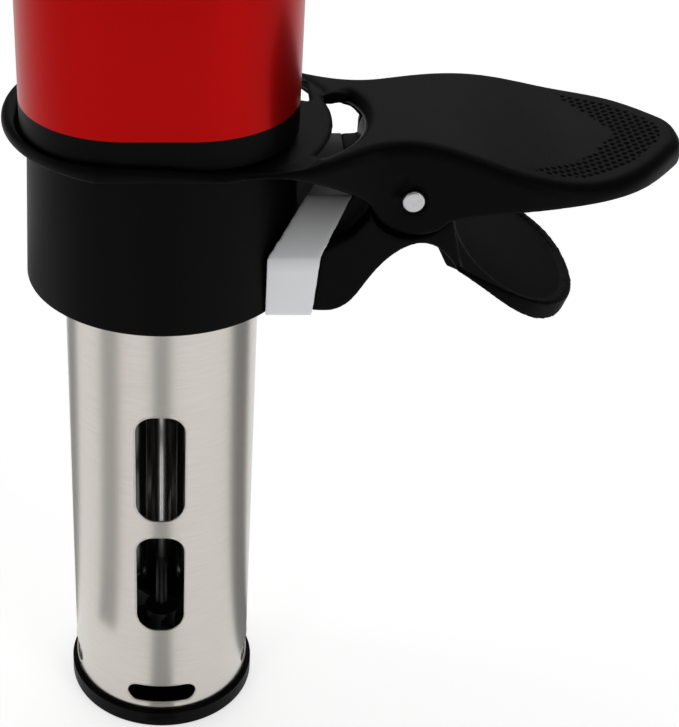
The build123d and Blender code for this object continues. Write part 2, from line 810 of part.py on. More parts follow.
# Push buttons: cap through the face, flange behind it and stem over the switch
stem_end = control_board_depth - switch_height - button_travel - button_free_play
button_names = ("button_down", "button_start", "button_up")
for button_name, (button_x, button_y) in zip(button_names, button_places):
    with BuildPart() as button:
        with BuildSketch(face_plane.offset(button_proud)):
            with Locations((button_x, button_y)):
                Circle(button_radius)
        extrude(amount=-(button_proud + head_wall))
        with BuildSketch(inner_face_plane):
            with Locations((button_x, button_y)):
                Circle(button_radius + button_flange)
        extrude(amount=-button_flange_height)
        with BuildSketch(inner_face_plane):
            with Locations((button_x, button_y)):
                Circle(button_stem_radius)
        extrude(amount=-(stem_end - head_wall))
    save(button, button_name)

# Cord gland in the back of the head, with an open bore
with BuildPart() as cord_gland:
    with BuildSketch(gland_plane):
        Circle(gland_radius + gland_flange)
    extrude(amount=gland_flange_height)
    with BuildSketch(gland_plane):
        Circle(gland_radius)
    extrude(amount=-gland_length)
    with BuildSketch(gland_plane.offset(gland_flange_height)):
        Circle(gland_bore)
    extrude(amount=-(gland_length + gland_flange_height), mode=Mode.SUBTRACT)
save(cord_gland, "cord_gland")

# Plan of the clamp lever: a smooth line from the ring over shoulder, neck and paddle to the tip


def lever_plan(inset):
    """Plan of the lever, drawn in by a wall's thickness."""
    join_half = ring_side - inset
    with BuildSketch() as plan:
        with BuildLine():
            lever_side = Spline(
                (lever_join_x, join_half), (shoulder_x, shoulder_half - inset), (neck_x, neck_half - inset),
                (paddle_x, paddle_half - inset), (nose_x - inset / 2, nose_half - inset),
                (crown_x - inset, crown_half - inset / 2), (tip_x - inset, 0),
                tangents=((1, 0), (0, -1)))
            mirror(lever_side, about=Plane.XZ)
            Line((lever_join_x, join_half), (lever_join_x, -join_half))
        make_face()
    return plan.sketch


# Top and bottom lines of the clamp seen from the front
clamp_top = [
    (-ring_radius - cut_over, ring_top),
    (ring_slope_x, ring_top),
    (dip_x, dip_z),
    (hump_x, hump_z),
    (paddle_low_x, paddle_low_z),
    (tip_x + cut_over, tip_z),
]
cheek_left = (pivot_x - cheek_radius * cos(radians(15)), pivot_z - cheek_radius * sin(radians(15)))
cheek_right = (pivot_x + cheek_radius * cos(radians(30)), pivot_z - cheek_radius * sin(radians(30)))
clamp_floor_z = pivot_z - cheek_radius - cut_over


def top_line(drop):
    """Top line of the clamp, lowered by a wall's thickness."""
    return Spline(*[(x, z - drop) for x, z in clamp_top], tangents=((1, 0), (1, 0)))


# Space under the lever's plate
with BuildPart() as lever_space:
    with BuildSketch(Plane.XY.offset(clamp_floor_z)):
        add(lever_plan(lever_wall))
        Circle(finger_hole_inner, mode=Mode.SUBTRACT)
    extrude(amount=ring_top - clamp_floor_z)
    with BuildSketch(Plane.XZ):
        with BuildLine():
            under_line = top_line(lever_plate)
            Polyline(under_line @ 1, (tip_x + cut_over, clamp_floor_z),
                     (-ring_radius - cut_over, clamp_floor_z), under_line @ 0)
        make_face()
    extrude(amount=paddle_half + cut_over, both=True, mode=Mode.INTERSECT)

# Clamp frame: ring round the body and upper lever with its skirt and cheeks
with BuildPart() as clamp_frame:
    with BuildSketch(Plane.XY.offset(clamp_floor_z)):
        Circle(ring_radius)
        Rectangle(2 * ring_radius, 2 * ring_side, mode=Mode.INTERSECT)
        add(lever_plan(0))
    extrude(amount=ring_top + cut_over - clamp_floor_z)
    with BuildSketch(Plane.XZ):
        with BuildLine():
            upper = top_line(0)
            tip_drop = Line(upper @ 1, (tip_x + cut_over, tip_under_z))
            Spline(tip_drop @ 1, (paddle_under_x, paddle_under_z), cheek_right,
                   tangents=((-1, 0), (-cos(radians(30)), -sin(radians(30)))))
            ThreePointArc(cheek_right, (pivot_x, pivot_z - cheek_radius), cheek_left)
            ring_under = Spline(cheek_left, (skirt_knee_x, skirt_knee_z), (skirt_start_x, housing_top),
                                tangents=((-cos(radians(50)), sin(radians(50))), (-1, 0)))
            Polyline(ring_under @ 1, (-ring_radius - cut_over, housing_top), upper @ 0)
        make_face()
    extrude(amount=ring_radius + cut_over, both=True, mode=Mode.INTERSECT)
    add(lever_space.part, mode=Mode.SUBTRACT)
    with BuildSketch(Plane.XY.offset(clamp_floor_z)):
        add(lever_plan(lever_wall))
        Circle(finger_hole_inner, mode=Mode.INTERSECT)
    extrude(amount=housing_top - clamp_floor_z, mode=Mode.SUBTRACT)
    with BuildSketch(Plane.XY.offset(clamp_floor_z)):
        with Locations((finger_hole_reach - finger_hole_round, 0)):
            Circle(finger_hole_round)
        Circle(finger_hole_inner, mode=Mode.SUBTRACT)
        with Locations((finger_hole_inner, finger_hole_end + finger_hole_round / 2)):
            Rectangle(finger_hole_round, finger_hole_round, mode=Mode.SUBTRACT)
    extrude(amount=ring_top - clamp_floor_z, mode=Mode.SUBTRACT)
    with BuildSketch(Plane.XZ):
        with Locations(((far_notch_start + far_notch_end) / 2, far_notch_z - far_notch_end / 2)):
            RectangleRounded(far_notch_end - far_notch_start, far_notch_end, far_notch_corner)
    extrude(amount=-ring_radius, mode=Mode.SUBTRACT)
    with BuildSketch(Plane.XY.offset(housing_top)):
        with Locations(((neck_radius + light_gap_x) / 2, (light_gap_start + light_gap_end) / 2)):
            Rectangle(light_gap_x - neck_radius, light_gap_end - light_gap_start)
    extrude(amount=ring_top - housing_top, mode=Mode.SUBTRACT)
    with BuildSketch(body_plane.offset(trim_bottom)):
        RectangleRounded(body_length + 2 * ring_bore_gap, body_width + 2 * ring_bore_gap,
                         body_corner + ring_bore_gap)
    extrude(amount=ring_top - trim_bottom + cut_over, mode=Mode.SUBTRACT)
    with BuildSketch(Plane.XY.offset(housing_top)):
        Circle(neck_radius + seat_gap)
    extrude(amount=ring_top - housing_top, mode=Mode.SUBTRACT)
    for facing in (-1, 1):
        boss_plane = Plane(origin=(pivot_x, facing * (jaw_core_half + moving_gap), pivot_z),
                           x_dir=(1, 0, 0), z_dir=(0, facing, 0))
        with BuildSketch(boss_plane):
            Circle(rivet_boss_radius)
        extrude(amount=neck_half - jaw_core_half - moving_gap)
        with BuildSketch(Plane(origin=(pivot_x, facing * rivet_half, pivot_z), x_dir=(1, 0, 0),
                               z_dir=(0, facing, 0))):
            Circle(rivet_head_radius + seat_gap)
        extrude(amount=cut_over * 2, mode=Mode.SUBTRACT)
    with BuildSketch(Plane.XZ):
        with Locations((pivot_x, pivot_z)):
            Circle(rivet_radius + press_gap)
    extrude(amount=paddle_half + cut_over, both=True, mode=Mode.SUBTRACT)
save(clamp_frame, "clamp_frame")

# Rivet through both cheeks, with a round head on each side
with BuildPart() as pivot_rivet:
    with BuildSketch(Plane.XZ):
        with Locations((pivot_x, pivot_z)):
            Circle(rivet_radius)
    extrude(amount=rivet_half, both=True)
    for facing in (-1, 1):
        head_plane = Plane(origin=(pivot_x, facing * rivet_half, pivot_z), x_dir=(1, 0, 0),
                           z_dir=(0, facing, 0))
        with BuildSketch(head_plane):
            Circle(rivet_head_radius)
        extrude(amount=rivet_head_height)
    rims = pivot_rivet.edges().filter_by(GeomType.CIRCLE).sort_by(Axis.Y)
    fillet([rims[0], rims[-1]], rivet_head_height * 0.6)
save(pivot_rivet, "pivot_rivet")

# Lower lever: jaw, hub between the cheeks and tongue that the fingers squeeze
slope = radians(tongue_slope)
tongue_plane = Plane(
    origin=(pivot_x - tongue_drop * sin(slope), 0, pivot_z - tongue_drop * cos(slope)),
    x_dir=(cos(slope), 0, -sin(slope)), z_dir=(sin(slope), 0, cos(slope)))
leg_top = tongue_plane.from_local_coords((tongue_start, 0, 0))
tongue_back = tongue_plane.from_local_coords((tongue_root - cut_over, 0, 0))
tongue_front = tongue_plane.from_local_coords((tongue_end + cut_over, 0, 0))
tongue_side_points = [(tongue_root, tongue_root_half), (tongue_middle, tongue_half), (tongue_end, 0)]
down = radians(spring_down_angle)
pocket_drop = spring_radius + spring_wire / 2 + spring_pocket_gap
pocket_start = (pivot_x - pocket_drop * sin(down), pivot_z - pocket_drop * cos(down))
pocket_end = (pocket_start[0] + tongue_middle * cos(down), pocket_start[1] - tongue_middle * sin(down))
spring_half = (spring_turns + 1) * spring_pitch / 2 + spring_wire / 2 + spring_pocket_gap
with BuildSketch(Plane.XZ) as lever_outline:
    with BuildLine():
        sole = Spline((jaw_toe_x, jaw_toe_z), (jaw_heel_x, jaw_heel_z), (jaw_shin_x, jaw_shin_z),
                      (arch_x, arch_z), (leg_x, leg_z))
        Polyline(sole @ 1, (leg_top.X, leg_top.Z), (pivot_x + cheek_radius, pivot_z - cheek_radius / 2),
                 (pivot_x, pivot_z), (jaw_top_x, jaw_top_z), (crease_x, crease_z), sole @ 0)
    make_face()
with BuildPart() as tongue:
    with BuildSketch(tongue_plane):
        with BuildLine():
            tongue_side = Spline(*tongue_side_points, tangents=((1, 0.3), (0, -1)))
            mirror(tongue_side, about=Plane.XZ)
            Line(tongue_side @ 0, (tongue_root, -tongue_root_half))
        make_face()
    extrude(amount=-tongue_depth)
    with BuildSketch(Plane.XZ):
        with BuildLine():
            tongue_under = Spline((leg_x, leg_z), (tongue_under_middle_x, tongue_under_middle_z),
                                  (tongue_under_low_x, tongue_under_low_z),
                                  (tongue_under_end_x, tongue_under_end_z))
            Polyline(tongue_under @ 1, (tongue_front.X, tongue_front.Z), (tongue_back.X, tongue_back.Z),
                     tongue_under @ 0)
        make_face()
    extrude(amount=paddle_half, both=True, mode=Mode.INTERSECT)
with BuildPart() as jaw_lever:
    with BuildSketch(Plane.XZ):
        add(lever_outline.sketch)
        with Locations((pivot_x, pivot_z)):
            Circle(cheek_radius - moving_gap)
    extrude(amount=jaw_core_half, both=True)
    with BuildSketch(Plane.XZ):
        add(lever_outline.sketch)
        with Locations((pivot_x, pivot_z)):
            Circle(cheek_radius + moving_gap, mode=Mode.SUBTRACT)
        with BuildLine():
            FilletPolyline((crease_x, crease_z), (shoulder_knee_x, shoulder_knee_z),
                           (pivot_x - cheek_radius, pivot_z - cheek_radius / 2),
                           (pivot_x - cheek_radius, jaw_top_z + cut_over),
                           (crease_x - cut_over, jaw_top_z + cut_over), radius=shoulder_round / 2, close=True)
        make_face(mode=Mode.SUBTRACT)
    extrude(amount=jaw_half, both=True)
    add(tongue.part)
    with BuildSketch(Plane.XZ):
        with BuildLine():
            Polyline((pivot_x + cheek_radius / 2, pivot_z - cheek_radius), (web_low_x, web_low_z),
                     (web_end_x, web_end_z), (leg_top.X, leg_top.Z),
                     (pivot_x + cheek_radius, pivot_z - cheek_radius), close=True)
        make_face()
    extrude(amount=jaw_core_half, both=True)
    with BuildSketch(tongue_plane):
        with Locations((tongue_middle, 0)):
            Ellipse(tongue_end - tongue_middle - tongue_rim, tongue_half - tongue_rim)
    extrude(amount=-tongue_sink, mode=Mode.SUBTRACT)
    with BuildSketch(Plane.XZ):
        with BuildLine():
            Polyline(pocket_start, pocket_end, (pocket_end[0], hump_z), (pocket_start[0], hump_z), close=True)
        make_face()
        with Locations((pivot_x, pivot_z)):
            Circle(pocket_drop)
    extrude(amount=spring_half, both=True, mode=Mode.SUBTRACT)
    with BuildSketch(Plane.XZ):
        with Locations((pivot_x, pivot_z)):
            Circle(rivet_radius + running_gap)
    extrude(amount=jaw_half, both=True, mode=Mode.SUBTRACT)
save(jaw_lever, "jaw_lever")

# Soft jaw pad: hollowed to the housing's curve, leaning away above its crease
pad_radius = housing_bottom_radius + pad_gap


def pad_section(z, half, back, radius):
    """Plan of the pad at one height: a straight back and a hollow front."""
    front = sqrt(radius ** 2 - half ** 2)
    with BuildSketch(Plane.XY.offset(z)) as section:
        with BuildLine():
            ThreePointArc((front, -half), (radius, 0), (front, half))
            Polyline((front, half), (back, half), (back, -half), (front, -half))
        make_face()
    return section.sketch


pad_toe = pad_section(jaw_toe_z, pad_half, jaw_toe_x, pad_radius)
pad_crease = pad_section(crease_z, pad_half, crease_x, pad_radius)
pad_head = pad_section(jaw_top_z, pad_top_half, jaw_top_x, pad_radius + pad_top_lean)
with BuildPart() as jaw_pad:
    loft(sections=[pad_toe, pad_crease], ruled=True)
    loft(sections=[pad_crease, pad_head], ruled=True)
save(jaw_pad, "jaw_pad")

# Torsion spring: straight leg, closed coil round the rivet, straight leg


def coil_point(turn, y):
    """Point of the coil at an angle seen from the front, at a depth along the rivet."""
    return Vector(pivot_x + spring_radius * cos(turn), y, pivot_z + spring_radius * sin(turn))


def biarc(start, start_way, end, end_way):
    """Draw two tangent arcs from one point and direction to another."""
    across = end - start
    both = start_way + end_way
    spread = 1 - start_way.dot(end_way)
    along = across.dot(both)
    reach = (sqrt(along ** 2 + 2 * spread * across.dot(across)) - along) / (2 * spread)
    middle = (start + end + (start_way - end_way) * reach) * 0.5
    chord = (middle - start).normalized()
    middle_way = chord * (2 * chord.dot(start_way)) - start_way
    TangentArc(start, middle, tangent=start_way)
    TangentArc(middle, end, tangent=middle_way)


start_turn = radians(90 + spring_up_angle)
end_turn = radians(270 - spring_down_angle) + 2 * pi * spring_turns
quarter_count = round((end_turn - start_turn) / (pi / 2))
quarter_turn = (end_turn - start_turn) / quarter_count
climb = spring_pitch * quarter_turn / (2 * pi)
coil_depths = [climb * (index - quarter_count / 2) for index in range(quarter_count + 1)]
coil_turns = [start_turn + index * quarter_turn for index in range(quarter_count + 1)]
coil_points = [coil_point(turn, y) for turn, y in zip(coil_turns, coil_depths)]
rise = spring_pitch / (2 * pi * spring_radius)
coil_ways = [Vector(-sin(turn), rise, cos(turn)).normalized() for turn in coil_turns]
coil_ways[0] = Vector(-sin(start_turn), 0, cos(start_turn))
coil_ways[-1] = Vector(-sin(end_turn), 0, cos(end_turn))
with BuildPart() as torsion_spring:
    with BuildLine() as spring_line:
        Line(coil_points[0] - coil_ways[0] * spring_leg, coil_points[0])
        for index in range(quarter_count):
            biarc(coil_points[index], coil_ways[index], coil_points[index + 1], coil_ways[index + 1])
        Line(coil_points[-1], coil_points[-1] + coil_ways[-1] * spring_leg)
    with BuildSketch(Plane(origin=spring_line.line @ 0, z_dir=spring_line.line % 0)):
        Circle(spring_wire / 2)
    sweep()
save(torsion_spring, "torsion_spring")

# Least gap between neighbouring turns, measured on points along the wire
samples = 240
centre_line = spring_line.wires()[0]
along_wire = [centre_line @ (index / samples) for index in range(samples + 1)]
wire_step = centre_line.length / samples
far = int(pi * spring_radius / wire_step)
least = min((along_wire[i] - along_wire[j]).length
            for i in range(samples + 1) for j in range(i + far, samples + 1))
print(f"torsion spring: least gap between turns {least - spring_wire:.2f} mm")
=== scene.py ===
"""Sous vide circulator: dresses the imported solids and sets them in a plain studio."""
import json
import logging
import math
from dataclasses import dataclass
from enum import Enum
from typing import Any

import bmesh
import bpy
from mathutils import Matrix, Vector
from mathutils.bvhtree import BVHTree


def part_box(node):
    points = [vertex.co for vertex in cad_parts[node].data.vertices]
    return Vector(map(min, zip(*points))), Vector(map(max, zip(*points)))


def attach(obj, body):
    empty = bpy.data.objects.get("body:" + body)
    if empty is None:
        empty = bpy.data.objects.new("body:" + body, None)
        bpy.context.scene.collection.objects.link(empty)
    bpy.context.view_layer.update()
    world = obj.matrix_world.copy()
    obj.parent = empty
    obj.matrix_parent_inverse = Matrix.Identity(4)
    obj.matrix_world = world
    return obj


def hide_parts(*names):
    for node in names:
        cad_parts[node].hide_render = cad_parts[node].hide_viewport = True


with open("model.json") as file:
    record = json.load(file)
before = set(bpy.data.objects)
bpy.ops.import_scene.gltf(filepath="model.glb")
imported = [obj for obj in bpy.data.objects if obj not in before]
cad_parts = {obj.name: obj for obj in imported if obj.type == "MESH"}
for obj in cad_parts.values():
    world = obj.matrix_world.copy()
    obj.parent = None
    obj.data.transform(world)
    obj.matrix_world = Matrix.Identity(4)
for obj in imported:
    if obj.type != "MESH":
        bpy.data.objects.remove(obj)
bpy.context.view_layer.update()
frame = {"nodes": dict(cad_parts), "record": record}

MM = 0.001
IMAGE_WIDTH = 679
IMAGE_HEIGHT = 727
JOIN_DISTANCE = 1e-6
SMOOTH_SHARE = 0.5
GRIP_BAND = "grip_band"
WHITE = (1.0, 1.0, 1.0, 1.0)
LOG = logging.getLogger("circulator")

Triple = tuple[float, float, float]
EVEN: Triple = (1.0, 1.0, 1.0)


class Slot(Enum):
    """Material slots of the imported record."""

    RED_PAINT = "red_paint"
    BRUSHED_STEEL = "brushed_steel"
    POLISHED_STEEL = "polished_steel"
    BLACK_PLASTIC = "black_plastic"
    WHITE_SILICONE = "white_silicone"
    BLACK_RUBBER = "black_rubber"
    ZINC = "zinc"
    SPRING_WIRE = "spring_wire"
    BRONZE = "bronze"
    INNER_PLASTIC = "inner_plastic"
    ALUMINIUM = "aluminium"
    MOTOR_STEEL = "motor_steel"
    BOARD_GREEN = "board_green"
    COMPONENT_BLACK = "component_black"
    SMOKED_LENS = "smoked_lens"
    BUTTON_GREY = "button_grey"


class Detail(Enum):
    """How many finer layers a noise has."""

    PLAIN = 1.0
    SOFT = 2.0
    RICH = 3.0
    FULL = 4.0


class Axis(Enum):
    """Parts of a vector."""

    X = "X"
    Y = "Y"
    Z = "Z"


class Signal:
    """A node socket that takes part in ordinary arithmetic."""

    def __init__(self, bench: "Bench", socket: bpy.types.NodeSocket) -> None:
        """Keep the socket and the bench that its new nodes go to."""
        self.bench = bench
        self.socket = socket

    def _math(self, operation: str, first: Any, second: Any = 0.0) -> "Signal":
        """Add one Math node.

        Args:
            operation: the Math node's operation.
            first: a signal or a number.
            second: a signal or a number.

        Returns:
            The node's result.
        """
        return self.bench.node("ShaderNodeMath", {"operation": operation}, {0: first, 1: second})

    def __add__(self, other: Any) -> "Signal":
        """Sum."""
        return self._math("ADD", self, other)

    __radd__ = __add__

    def __sub__(self, other: Any) -> "Signal":
        """Difference."""
        return self._math("SUBTRACT", self, other)

    def __rsub__(self, other: Any) -> "Signal":
        """Difference, the signal second."""
        return self._math("SUBTRACT", other, self)

    def __mul__(self, other: Any) -> "Signal":
        """Product."""
        return self._math("MULTIPLY", self, other)

    __rmul__ = __mul__

    def __truediv__(self, other: Any) -> "Signal":
        """Quotient."""
        return self._math("DIVIDE", self, other)

    def __rtruediv__(self, other: Any) -> "Signal":
        """Quotient, the signal second."""
        return self._math("DIVIDE", other, self)

    def clamped(self) -> "Signal":
        """The signal kept between 0 and 1."""
        return self.bench.node("ShaderNodeClamp", {}, {0: self})

    def rounded(self) -> "Signal":
        """Nearest whole number."""
        return self._math("ROUND", self)

    def at_least(self, floor: Any) -> "Signal":
        """The larger of the signal and a floor."""
        return self._math("MAXIMUM", self, floor)

    def parity(self) -> "Signal":
        """0 on even rows and 1 on odd ones."""
        return self._math("FLOORED_MODULO", self, 2.0)

    def part(self, axis: Axis) -> "Signal":
        """A vector's part along one axis."""
        return self.bench.node("ShaderNodeSeparateXYZ", {}, {0: self}, axis.value)


def varied(mean: float, *parts: tuple[Signal, float]) -> Signal:
    """Make a value that noises move about its mean.

    Args:
        mean: the value in the middle.
        parts: each noise, from 0 to 1, with the width of the swing that it gives.

    Returns:
        The moving value.
    """
    lowest = mean - sum(swing for _, swing in parts) / 2
    return sum((noise * swing for noise, swing in parts), start=lowest)


class Bench:
    """Adds nodes to one tree."""

    def __init__(self, tree: bpy.types.NodeTree) -> None:
        """Keep the tree."""
        self.tree = tree

    def node(self, kind: str, settings: dict[str, Any] | None = None, values: dict[Any, Any] | None = None,
             output: int | str = 0) -> Signal:
        """Add a node, set it up and join its inputs.

        Args:
            kind: the node's type.
            settings: its own settings, which are set first.
            values: inputs by name or number, each a signal or a constant.
            output: the output to hand back.

        Returns:
            That output as a signal.
        """
        made = self.tree.nodes.new(kind)
        for key, value in (settings or {}).items():
            setattr(made, key, value)
        for key, value in (values or {}).items():
            self.feed(made.inputs[key], value)
        return Signal(self, made.outputs[output])

    def feed(self, socket: bpy.types.NodeSocket, value: Any) -> None:
        """Join or set one input.

        Args:
            socket: the input.
            value: a signal or a constant.
        """
        if isinstance(value, Signal):
            self.tree.links.new(value.socket, socket)
        else:
            socket.default_value = value


class ShaderBench(Bench):
    """A material with one principled shader."""

    MIX_FACTOR = 0
    MIX_FIRST = 6
    MIX_SECOND = 7
    MIX_RESULT = 2

    def __init__(self, name: str) -> None:
        """Start an empty material.

        Args:
            name: the material's name.
        """
        self.material = bpy.data.materials.new(name)
        self.material.use_nodes = True
        super().__init__(self.material.node_tree)
        self.tree.nodes.clear()
        self.shader = self.tree.nodes.new("ShaderNodeBsdfPrincipled")
        end = self.tree.nodes.new("ShaderNodeOutputMaterial")
        self.tree.links.new(self.shader.outputs[0], end.inputs["Surface"])

    def place(self, stretch: Triple = EVEN) -> Signal:
        """Object coordinates, scaled along each axis."""
        values = {"Vector": self.node("ShaderNodeTexCoord", output="Object"), "Scale": stretch}
        return self.node("ShaderNodeMapping", {"vector_type": "POINT"}, values)

    def noise(self, scale: float, detail: Detail, stretch: Triple = EVEN) -> Signal:
        """Make noise from 0 to 1.

        Args:
            scale: features per metre.
            detail: how many finer layers it has.
            stretch: scale along each axis.

        Returns:
            The noise value.
        """
        return self.node("ShaderNodeTexNoise", {"noise_dimensions": "3D"},
                         {"Vector": self.place(stretch), "Scale": scale, "Detail": detail.value})

    def blend(self, factor: Signal, first: Signal | Triple, second: Triple) -> Signal:
        """Mix two colours.

        Args:
            factor: 0 for the first colour and 1 for the second.
            first: a colour, or a signal that carries one.
            second: a colour.

        Returns:
            The mixed colour.
        """
        start = first if isinstance(first, Signal) else (*first, 1.0)
        values = {self.MIX_FACTOR: factor, self.MIX_FIRST: start, self.MIX_SECOND: (*second, 1.0)}
        return self.node("ShaderNodeMix", {"data_type": "RGBA"}, values, self.MIX_RESULT)

    def bump(self, height: Signal, strength: float, depth: float) -> Signal:
        """Make a surface normal from a height.

        Args:
            height: the height, 0 to 1.
            strength: share of the bump that shows.
            depth: depth in millimetres.

        Returns:
            The normal.
        """
        return self.node("ShaderNodeBump", {},
                         {"Height": height, "Strength": strength, "Distance": depth * MM})

    def finish(self, **sockets: Any) -> bpy.types.Material:
        """Set the shader's sockets.

        Args:
            sockets: a signal or a constant for each socket, its name written with underscores.

        Returns:
            The finished material.
        """
        for key, value in sockets.items():
            self.feed(self.shader.inputs[key.replace("_", " ")], value)
        return self.material


@dataclass(frozen=True)
class Moulded:
    """Moulded plastic or rubber with a fine eroded grain, its width and depth in millimetres."""

    name: str
    colour: Triple
    faded: Triple
    roughness: float
    grain: float = 0.35
    depth: float = 0.05
    specular: float = 0.5
    cloud_scale: float = 38.0
    cloud_swing: float = 0.10
    grain_swing: float = 0.08
    bump: float = 0.55

    def material(self) -> bpy.types.Material:
        """Mix the finish.

        Returns:
            The material.
        """
        bench = ShaderBench(self.name)
        cloud = bench.noise(self.cloud_scale, Detail.FULL)
        grain = bench.noise(1.0 / (self.grain * MM), Detail.PLAIN)
        return bench.finish(
            Base_Color=bench.blend(cloud, self.colour, self.faded),
            Roughness=varied(self.roughness, (cloud, self.cloud_swing), (grain, self.grain_swing)),
            Normal=bench.bump(grain, self.bump, self.depth),
            Specular_IOR_Level=self.specular)


@dataclass(frozen=True)
class Silicone:
    """Pale silicone with painted shade that greys it towards its upper end, heights and depth in millimetres.
    """

    name: str
    colour: Triple
    shade_grey: Triple
    roughness: float
    pale_below: float
    shade_grey_above: float
    shade_grey_swing: float = 0.1
    cloud_scale: float = 45.0
    cloud_swing: float = 0.08
    grain_scale: float = 2000.0
    grain_swing: float = 0.06
    bump: float = 0.4
    depth: float = 0.02
    specular: float = 0.4

    def material(self) -> bpy.types.Material:
        """Mix the finish.

        Returns:
            The material.
        """
        bench = ShaderBench(self.name)
        cloud = bench.noise(self.cloud_scale, Detail.RICH)
        grain = bench.noise(self.grain_scale, Detail.PLAIN)
        # Painted shade: the base colour darkens towards the upper end of the pad, for the shade under the
        # clamp frame above it.
        span = (self.shade_grey_above - self.pale_below) * MM
        rise = (bench.place().part(Axis.Z) - self.pale_below * MM) / span
        shade_share = (rise + varied(0.0, (cloud, self.shade_grey_swing))).clamped()
        return bench.finish(
            Base_Color=bench.blend(shade_share, self.colour, self.shade_grey),
            Roughness=varied(self.roughness, (cloud, self.cloud_swing), (grain, self.grain_swing)),
            Normal=bench.bump(grain, self.bump, self.depth),
            Specular_IOR_Level=self.specular)


@dataclass(frozen=True)
class Metal:
    """Bare metal with lines along the way it was worked, depth and bright radius in millimetres."""

    name: str
    colour: Triple
    toned: Triple
    roughness: float
    swing: float = 0.12
    lines: Triple = EVEN
    scale: float = 900.0
    depth: float = 0.006
    bump: float = 0.4
    anisotropy: float = 0.0
    cloud_scale: float = 30.0
    cloud_swing: float = 0.04
    inner_shade: Triple = (0.0, 0.0, 0.0)
    inner_shade_swing: float = 0.2
    bright_radius: float = 0.0

    def material(self) -> bpy.types.Material:
        """Mix the finish, darkened by painted shade outside the bright radius where one is given.

        Returns:
            The material.
        """
        bench = ShaderBench(self.name)
        streak = bench.noise(self.scale, Detail.RICH, self.lines)
        cloud = bench.noise(self.cloud_scale, Detail.RICH)
        tone = bench.blend(streak, self.colour, self.toned)
        # Painted shade: outside the bright radius about the tube's axis the colour turns dark, for the shade
        # inside the steel tube on the heaters and probes.
        if self.bright_radius:
            spot = bench.place()
            across = spot.part(Axis.X) / (self.bright_radius * MM)
            along = spot.part(Axis.Y) / (self.bright_radius * MM)
            beyond = across * across + along * along + varied(-1.0, (cloud, self.inner_shade_swing))
            tone = bench.blend(beyond.clamped(), tone, self.inner_shade)
        return bench.finish(
            Base_Color=tone,
            Metallic=1.0,
            Roughness=varied(self.roughness, (streak, self.swing), (cloud, self.cloud_swing)),
            Normal=bench.bump(streak, self.bump, self.depth),
            Anisotropic=self.anisotropy)


@dataclass(frozen=True)
class Lacquer:
    """Metallic paint under a clear coat, the depth of its peel in millimetres."""

    name: str
    colour: Triple
    deep: Triple
    metallic: float
    roughness: float
    flake_scale: float = 5200.0
    flake_share: float = 0.55
    flake_swing: float = 0.10
    cloud_scale: float = 26.0
    cloud_share: float = 0.3
    cloud_swing: float = 0.05
    peel_scale: float = 420.0
    bump: float = 0.15
    depth: float = 0.01
    specular: float = 0.02
    coat: float = 0.035
    coat_roughness: float = 0.05

    def material(self) -> bpy.types.Material:
        """Mix the finish.

        Returns:
            The material.
        """
        bench = ShaderBench(self.name)
        flake = bench.noise(self.flake_scale, Detail.PLAIN)
        cloud = bench.noise(self.cloud_scale, Detail.SOFT)
        peel = bench.noise(self.peel_scale, Detail.PLAIN)
        deeper = flake * self.flake_share + cloud * self.cloud_share
        return bench.finish(
            Base_Color=bench.blend(deeper, self.colour, self.deep),
            Metallic=self.metallic,
            Roughness=varied(self.roughness, (flake, self.flake_swing), (cloud, self.cloud_swing)),
            Normal=bench.bump(peel, self.bump, self.depth),
            Specular_IOR_Level=self.specular,
            Coat_Weight=self.coat,
            Coat_Roughness=self.coat_roughness)


@dataclass(frozen=True)
class Laminate:
    """Circuit board with faint tracks under its mask, their pitch and depth in millimetres."""

    name: str
    colour: Triple
    track: Triple
    pitch: float
    row_shift: float = 0.5
    track_width: float = 0.03
    track_share: float = 0.8
    cloud_scale: float = 60.0
    cloud_share: float = 0.15
    cloud_swing: float = 0.1
    roughness: float = 0.35
    bump: float = 0.3
    depth: float = 0.03

    def material(self) -> bpy.types.Material:
        """Mix the finish.

        Returns:
            The material.
        """
        bench = ShaderBench(self.name)
        layout = {"Vector": bench.place(), "Scale": 1.0 / (self.pitch * MM), "Mortar Size": self.track_width}
        tracks = bench.node("ShaderNodeTexBrick", {"offset": self.row_shift}, layout, "Fac")
        cloud = bench.noise(self.cloud_scale, Detail.RICH)
        paler = tracks * self.track_share + cloud * self.cloud_share
        return bench.finish(
            Base_Color=bench.blend(paler, self.colour, self.track),
            Roughness=varied(self.roughness, (cloud, self.cloud_swing)),
            Normal=bench.bump(tracks, self.bump, self.depth))


@dataclass(frozen=True)
class Glowing:
    """Matt surface of the studio that gives off an even white light."""

    name: str
    colour: Triple
    toned: Triple
    cloud_scale: float
    glow: float
    roughness: float = 0.9

    def material(self) -> bpy.types.Material:
        """Mix the finish.

        Returns:
            The material.
        """
        bench = ShaderBench(self.name)
        cloud = bench.noise(self.cloud_scale, Detail.SOFT)
        return bench.finish(
            Base_Color=bench.blend(cloud, self.colour, self.toned),
            Roughness=self.roughness,
            Emission_Color=WHITE,
            Emission_Strength=self.glow)


